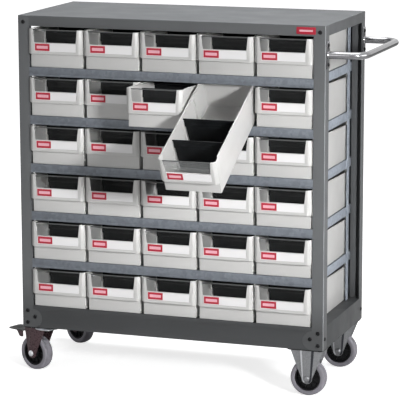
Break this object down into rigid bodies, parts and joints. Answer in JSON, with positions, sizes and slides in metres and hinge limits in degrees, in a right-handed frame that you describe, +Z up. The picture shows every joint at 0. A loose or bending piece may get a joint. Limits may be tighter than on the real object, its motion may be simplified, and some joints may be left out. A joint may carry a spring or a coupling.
{
  "type": "mobile parts cabinet",
  "caption": "Mobile parts cabinet: sheet-metal body on casters with rows of sliding, tilting plastic drawers on steel shelves and a push handle at one side.",
  "frame": {"origin": "on the floor under the middle of the sheet-metal body", "axes": "+Z up, drawer fronts face -Y, the push handle is at +X"},
  "size_m": [1.0637, 0.7602, 1.016],
  "materials": {
    "drawer_plastic": "light grey moulded plastic",
    "clear_window": "clear plastic",
    "label_card": "white card with a red tag",
    "divider_plastic": "black moulded plastic",
    "body_paint": "dark grey satin paint",
    "top_paint": "dark grey satin paint",
    "galvanised": "galvanised steel",
    "red_plate": "plain red",
    "black_bolts": "black button heads",
    "handle_chrome": "satin chrome",
    "caster_zinc": "bright zinc",
    "pedal_metal": "dark grey",
    "wheel_rubber": "grey rubber on a black hub"
  },
  "bodies": {
    "cabinet": {"top_panel": "top_paint", "name_plate": "red_plate", "post_front_left": "body_paint", "post_front_right": "body_paint", "post_rear_left": "body_paint", "post_rear_right": "body_paint", "base_frame": "body_paint", "back_panel": "body_paint", "shelf_1": "galvanised", "shelf_2": "galvanised", "shelf_3": "galvanised", "shelf_4": "galvanised", "shelf_5": "galvanised", "shelf_uprights": "galvanised", "frame_bolts": "black_bolts", "push_handle": "handle_chrome", "fixed_forks": "caster_zinc", "fixed_axles": "caster_zinc", "swivel_plates": "caster_zinc"},
    "drawer_r1_c1": {"drawer_r1_c1": "drawer_plastic"},
    "drawer_r1_c2": {"drawer_r1_c2": "drawer_plastic"},
    "drawer_r1_c3": {"drawer_r1_c3": "drawer_plastic"},
    "drawer_r1_c4": {"drawer_r1_c4": "drawer_plastic"},
    "drawer_r1_c5": {"drawer_r1_c5": "drawer_plastic"},
    "drawer_r2_c1": {"drawer_r2_c1": "drawer_plastic"},
    "drawer_r2_c2": {"drawer_r2_c2": "drawer_plastic"},
    "drawer_r2_c3": {"drawer_r2_c3": "drawer_plastic"},
    "drawer_r2_c4": {"drawer_r2_c4": "drawer_plastic", "hung_drawer_window": "clear_window", "hung_drawer_label": "label_card", "hung_drawer_dividers": "divider_plastic"},
    "drawer_r2_c5": {"drawer_r2_c5": "drawer_plastic"},
    "drawer_r3_c1": {"drawer_r3_c1": "drawer_plastic"},
    "drawer_r3_c2": {"drawer_r3_c2": "drawer_plastic"},
    "drawer_r3_c3": {"drawer_r3_c3": "drawer_plastic"},
    "drawer_r3_c4": {"drawer_r3_c4": "drawer_plastic"},
    "drawer_r3_c5": {"drawer_r3_c5": "drawer_plastic"},
    "drawer_r4_c1": {"drawer_r4_c1": "drawer_plastic"},
    "drawer_r4_c2": {"drawer_r4_c2": "drawer_plastic"},
    "drawer_r4_c3": {"drawer_r4_c3": "drawer_plastic"},
    "drawer_r4_c4": {"drawer_r4_c4": "drawer_plastic"},
    "drawer_r4_c5": {"drawer_r4_c5": "drawer_plastic"},
    "drawer_r5_c1": {"drawer_r5_c1": "drawer_plastic"},
    "drawer_r5_c2": {"drawer_r5_c2": "drawer_plastic"},
    "drawer_r5_c3": {"drawer_r5_c3": "drawer_plastic"},
    "drawer_r5_c4": {"drawer_r5_c4": "drawer_plastic"},
    "drawer_r5_c5": {"drawer_r5_c5": "drawer_plastic"},
    "drawer_r6_c1": {"drawer_r6_c1": "drawer_plastic"},
    "drawer_r6_c2": {"drawer_r6_c2": "drawer_plastic"},
    "drawer_r6_c3": {"drawer_r6_c3": "drawer_plastic"},
    "drawer_r6_c4": {"drawer_r6_c4": "drawer_plastic"},
    "drawer_r6_c5": {"drawer_r6_c5": "drawer_plastic"},
    "swivel_front": {"swivel_fork_front": "caster_zinc"},
    "brake_front": {"brake_pedal_front": "pedal_metal"},
    "wheel_front_left": {"wheel_front_left": "wheel_rubber"},
    "wheel_front_right": {"wheel_front_right": "wheel_rubber"},
    "swivel_rear": {"swivel_fork_rear": "caster_zinc"},
    "brake_rear": {"brake_pedal_rear": "pedal_metal"},
    "wheel_rear_left": {"wheel_rear_left": "wheel_rubber"},
    "wheel_rear_right": {"wheel_rear_right": "wheel_rubber"}
  },
  "joints": [
    {"name": "drawer_r1_c1_slide", "type": "slide", "parent": "cabinet", "child": "drawer_r1_c1", "axis": [0, -1, 0], "range_m": [0, 0.292]},
    {"name": "drawer_r1_c2_slide", "type": "slide", "parent": "cabinet", "child": "drawer_r1_c2", "axis": [0, -1, 0], "range_m": [0, 0.292]},
    {"name": "drawer_r1_c3_slide", "type": "slide", "parent": "cabinet", "child": "drawer_r1_c3", "axis": [0, -1, 0], "range_m": [0, 0.292]},
    {"name": "drawer_r1_c4_slide", "type": "slide", "parent": "cabinet", "child": "drawer_r1_c4", "axis": [0, -1, 0], "range_m": [0, 0.292]},
    {"name": "drawer_r1_c5_slide", "type": "slide", "parent": "cabinet", "child": "drawer_r1_c5", "axis": [0, -1, 0], "range_m": [0, 0.292]},
    {"name": "drawer_r2_c1_slide", "type": "slide", "parent": "cabinet", "child": "drawer_r2_c1", "axis": [0, -1, 0], "range_m": [0, 0.292]},
    {"name": "drawer_r2_c2_slide", "type": "slide", "parent": "cabinet", "child": "drawer_r2_c2", "axis": [0, -1, 0], "range_m": [0, 0.292]},
    {"name": "drawer_r2_c3_slide", "type": "slide", "parent": "cabinet", "child": "drawer_r2_c3", "axis": [0, -1, 0], "range_m": [-0.105, 0.187]},
    {"name": "drawer_r2_c4_tilt", "type": "hinge", "parent": "cabinet", "child": "drawer_r2_c4", "pos_m": [0.163, -0.2, 0.739], "axis": [-1, 0, 0], "range_deg": [0, 27.3]},
    {"name": "drawer_r2_c5_slide", "type": "slide", "parent": "cabinet", "child": "drawer_r2_c5", "axis": [0, -1, 0], "range_m": [0, 0.292]},
    {"name": "drawer_r3_c1_slide", "type": "slide", "parent": "cabinet", "child": "drawer_r3_c1", "axis": [0, -1, 0], "range_m": [0, 0.292]},
    {"name": "drawer_r3_c2_slide", "type": "slide", "parent": "cabinet", "child": "drawer_r3_c2", "axis": [0, -1, 0], "range_m": [0, 0.292]},
    {"name": "drawer_r3_c3_slide", "type": "slide", "parent": "cabinet", "child": "drawer_r3_c3", "axis": [0, -1, 0], "range_m": [0, 0.292]},
    {"name": "drawer_r3_c4_slide", "type": "slide", "parent": "cabinet", "child": "drawer_r3_c4", "axis": [0, -1, 0], "range_m": [0, 0.04]},
    {"name": "drawer_r3_c5_slide", "type": "slide", "parent": "cabinet", "child": "drawer_r3_c5", "axis": [0, -1, 0], "range_m": [0, 0.292]},
    {"name": "drawer_r4_c1_slide", "type": "slide", "parent": "cabinet", "child": "drawer_r4_c1", "axis": [0, -1, 0], "range_m": [0, 0.292]},
    {"name": "drawer_r4_c2_slide", "type": "slide", "parent": "cabinet", "child": "drawer_r4_c2", "axis": [0, -1, 0], "range_m": [0, 0.292]},
    {"name": "drawer_r4_c3_slide", "type": "slide", "parent": "cabinet", "child": "drawer_r4_c3", "axis": [0, -1, 0], "range_m": [0, 0.292]},
    {"name": "drawer_r4_c4_slide", "type": "slide", "parent": "cabinet", "child": "drawer_r4_c4", "axis": [0, -1, 0], "range_m": [0, 0.292]},
    {"name": "drawer_r4_c5_slide", "type": "slide", "parent": "cabinet", "child": "drawer_r4_c5", "axis": [0, -1, 0], "range_m": [0, 0.292]},
    {"name": "drawer_r5_c1_slide", "type": "slide", "parent": "cabinet", "child": "drawer_r5_c1", "axis": [0, -1, 0], "range_m": [0, 0.292]},
    {"name": "drawer_r5_c2_slide", "type": "slide", "parent": "cabinet", "child": "drawer_r5_c2", "axis": [0, -1, 0], "range_m": [0, 0.292]},
    {"name": "drawer_r5_c3_slide", "type": "slide", "parent": "cabinet", "child": "drawer_r5_c3", "axis": [0, -1, 0], "range_m": [0, 0.292]},
    {"name": "drawer_r5_c4_slide", "type": "slide", "parent": "cabinet", "child": "drawer_r5_c4", "axis": [0, -1, 0], "range_m": [0, 0.292]},
    {"name": "drawer_r5_c5_slide", "type": "slide", "parent": "cabinet", "child": "drawer_r5_c5", "axis": [0, -1, 0], "range_m": [0, 0.292]},
    {"name": "drawer_r6_c1_slide", "type": "slide", "parent": "cabinet", "child": "drawer_r6_c1", "axis": [0, -1, 0], "range_m": [0, 0.292]},
    {"name": "drawer_r6_c2_slide", "type": "slide", "parent": "cabinet", "child": "drawer_r6_c2", "axis": [0, -1, 0], "range_m": [0, 0.292]},
    {"name": "drawer_r6_c3_slide", "type": "slide", "parent": "cabinet", "child": "drawer_r6_c3", "axis": [0, -1, 0], "range_m": [0, 0.292]},
    {"name": "drawer_r6_c4_slide", "type": "slide", "parent": "cabinet", "child": "drawer_r6_c4", "axis": [0, -1, 0], "range_m": [0, 0.292]},
    {"name": "drawer_r6_c5_slide", "type": "slide", "parent": "cabinet", "child": "drawer_r6_c5", "axis": [0, -1, 0], "range_m": [0, 0.292]},
    {"name": "swivel_front_turn", "type": "hinge", "parent": "cabinet", "child": "swivel_front", "pos_m": [-0.388, -0.157, 0.13], "axis": [0, 0, 1], "continuous": true},
    {"name": "wheel_front_left_spin", "type": "hinge", "parent": "swivel_front", "child": "wheel_front_left", "pos_m": [-0.42183, -0.14469, 0.05], "axis": [0.342, 0.9397, 0], "continuous": true},
    {"name": "brake_front_press", "type": "hinge", "parent": "swivel_front", "child": "brake_front", "pos_m": [-0.43874, -0.13853, 0.113], "axis": [-0.342, -0.9397, 0], "range_deg": [0, 12]},
    {"name": "wheel_front_right_spin", "type": "hinge", "parent": "cabinet", "child": "wheel_front_right", "pos_m": [0.388, -0.157, 0.05], "axis": [0, 1, 0], "continuous": true},
    {"name": "swivel_rear_turn", "type": "hinge", "parent": "cabinet", "child": "swivel_rear", "pos_m": [-0.388, 0.157, 0.13], "axis": [0, 0, 1], "continuous": true},
    {"name": "wheel_rear_left_spin", "type": "hinge", "parent": "swivel_rear", "child": "wheel_rear_left", "pos_m": [-0.41979, 0.1739, 0.05], "axis": [0.4695, 0.8829, 0], "continuous": true},
    {"name": "brake_rear_press", "type": "hinge", "parent": "swivel_rear", "child": "brake_rear", "pos_m": [-0.43568, 0.18235, 0.113], "axis": [-0.4695, -0.8829, 0], "range_deg": [0, 12]},
    {"name": "wheel_rear_right_spin", "type": "hinge", "parent": "cabinet", "child": "wheel_rear_right", "pos_m": [0.388, 0.157, 0.05], "axis": [0, 1, 0], "continuous": true}
  ]
}
